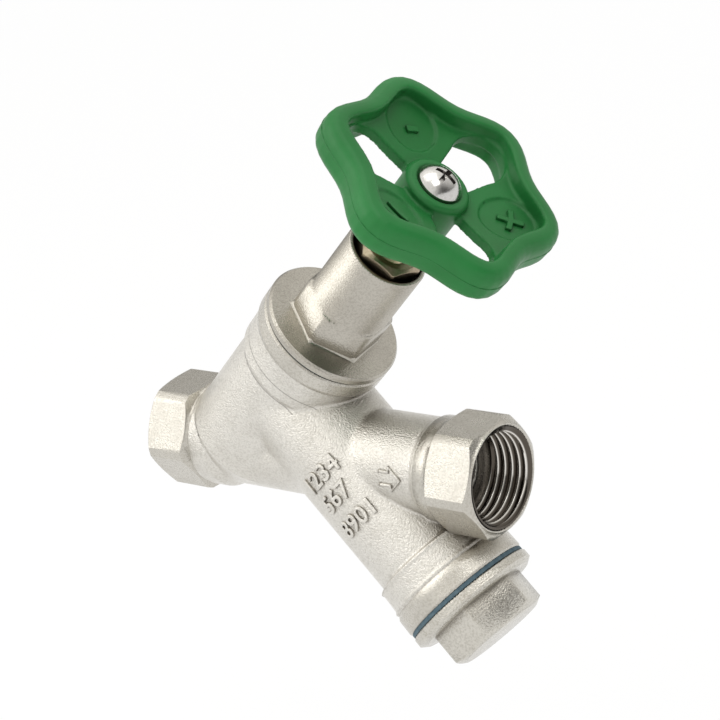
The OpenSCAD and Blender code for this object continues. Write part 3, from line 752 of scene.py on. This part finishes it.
# Handwheel
# One green moulding: a wavy rim, a dished web with three windows and three round panels, and a hub. The
# mould halves leave a fine ridge half way up the rim's outside, and each panel has a plain raised sign.
PLASTIC_GREENS = ((0.012, 0.150, 0.030), (0.016, 0.182, 0.040))
PAINTED_SHADE_GREEN = (0.006, 0.075, 0.015)
green, tree = start_material("green_plastic")
place = node(tree, "ShaderNodeTexCoord", output=3)
clouds = node(tree, "ShaderNodeTexNoise", None, place, Scale=60.0, Detail=3.0)
grain = node(tree, "ShaderNodeTexNoise", None, place, Scale=1500.0, Detail=2.0)
colour = mix_colour(tree, clouds.ramp(0.35, 0.7), *PLASTIC_GREENS)
# Painted shade: the green darkens where ambient occlusion finds the moulding sheltered.
corner = node(tree, "ShaderNodeAmbientOcclusion", {"samples": 6}, None, 10 * MM, output=1)
colour = mix_colour(tree, (1 - corner.ramp(0.3, 0.95)) * 0.85, colour, PAINTED_SHADE_GREEN)
soft = node(tree, "ShaderNodeBevel", {"samples": 6}, 0.3 * MM)
close_material(tree, node(tree, "ShaderNodeBsdfPrincipled", None, **{
    "Base Color": colour, "Roughness": 0.42 + 0.12 * (clouds - 0.5), "Specular IOR Level": 0.3,
    "Normal": bump_of(tree, grain, 0.008, soft)}))

WHEEL_VOXEL = 0.32
wheel = cad_copy("handwheel_moulding", "handwheel")
remesh = wheel.modifiers.new("even_skin", "REMESH")
remesh.mode = "VOXEL"
remesh.voxel_size = WHEEL_VOXEL * MM
soften = wheel.modifiers.new("soft_corners", "SMOOTH")
soften.factor = 0.5
soften.iterations = 2
settle(wheel)
for polygon in wheel.data.polygons:
    polygon.use_smooth = True
wheel.data.materials.clear()
wheel.data.materials.append(green)

WHEEL_TURN = math.radians(-23.5)
RIM_R = 24.15
RIM_WAVE = 1.9
RIM_LOBES = 6
RIM_STEPS = 180
PARTING_HEIGHT = 85.2
PARTING_R = 0.13
PARTING_SUNK = 0.04
PARTING_STEPS = 5


def wheel_point(angle, r, t):
    """A point on the handwheel: its own angle, its radius and its height on the valve axis."""
    a = angle + WHEEL_TURN
    side = STRAINER_AXIS * math.cos(a) + Vector((0, math.sin(a), 0))
    return Vector((VALVE_X, 0, 0)) + VALVE_AXIS * t + side * r


bm = bmesh.new()
rows = []
for i in range(RIM_STEPS):
    angle = 2 * math.pi * i / RIM_STEPS
    outline = RIM_R + RIM_WAVE * math.cos(RIM_LOBES * angle) - PARTING_SUNK
    row = []
    for k in range(PARTING_STEPS + 1):
        turn = math.pi * k / PARTING_STEPS - math.pi / 2
        r = outline + PARTING_R * math.cos(turn)
        row.append(bm.verts.new(wheel_point(angle, r, PARTING_HEIGHT + PARTING_R * math.sin(turn)) * MM))
    rows.append(row)
for i, row in enumerate(rows):
    other = rows[(i + 1) % RIM_STEPS]
    for k in range(PARTING_STEPS):
        bm.faces.new((row[k], other[k], other[k + 1], row[k + 1]))
bmesh.ops.recalc_face_normals(bm, faces=bm.faces)
parting = link("parting_ridge", smooth_mesh("parting_ridge", bm))
parting.data.materials.append(green)

PANEL_R = 15.55
PANEL_FLOOR = 84.55
PANEL_SLOPE = 0.2196
SIGN_LIFT = 0.12
SIGN_SIZE = 11.0


def on_panel(arm):
    """Carries a page to the floor of one of the three panels, with its foot towards the hub."""
    middle = math.radians(60 + 120 * arm)

    def bend(place):
        t = PANEL_FLOOR + PANEL_SLOPE * place.y + place.z + SIGN_LIFT
        return wheel_point(middle - place.x / PANEL_R, PANEL_R + place.y, t)
    return bend


signs = [
    raised_text("panel_mark_%d" % (arm + 1), sign, SIGN_SIZE, on_panel(arm), green)
    for arm, sign in enumerate(("+", "-", "="))
]
for piece in (wheel, parting, *signs):
    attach(piece, "wheel")
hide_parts("handwheel")

# Gaskets and inner trim
# Flat fibre gaskets, rubber rings and seat disc, a polymer thrust washer, the steel washer and screw that
# hold the seat disc, and the strainer's steel screen between two brass rings. Apart from the screw they
# are clamped or pressed between the other pieces.
fibre = flecked("fibre_gasket", 900.0, 3.0, (0.05, 0.095, 0.125), (0.085, 0.14, 0.17), 0.7, bump=0.02,
                low=0.35, high=0.7)
rubber = flecked("black_rubber", 700.0, 3.0, (0.012, 0.012, 0.013), (0.03, 0.03, 0.03), 0.55, bump=0.01)
polymer = flecked("white_polymer", 400.0, 2.0, (0.7, 0.68, 0.62), (0.8, 0.78, 0.73), 0.45, bump=0.005)
for names, material in (
    (("bonnet_gasket", "cap_gasket"), fibre),
    (("stem_o_rings", "seat_disc"), rubber),
    (("thrust_washer",), polymer),
    (("disc_washer", "disc_screw", "strainer_screen"), steel),
    (("screen_top_ring", "screen_base_ring"), brass_inside),
):
    for name in names:
        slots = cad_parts[name].data.materials
        if not slots:
            slots.append(material)
        for i in range(len(slots)):
            slots[i] = material
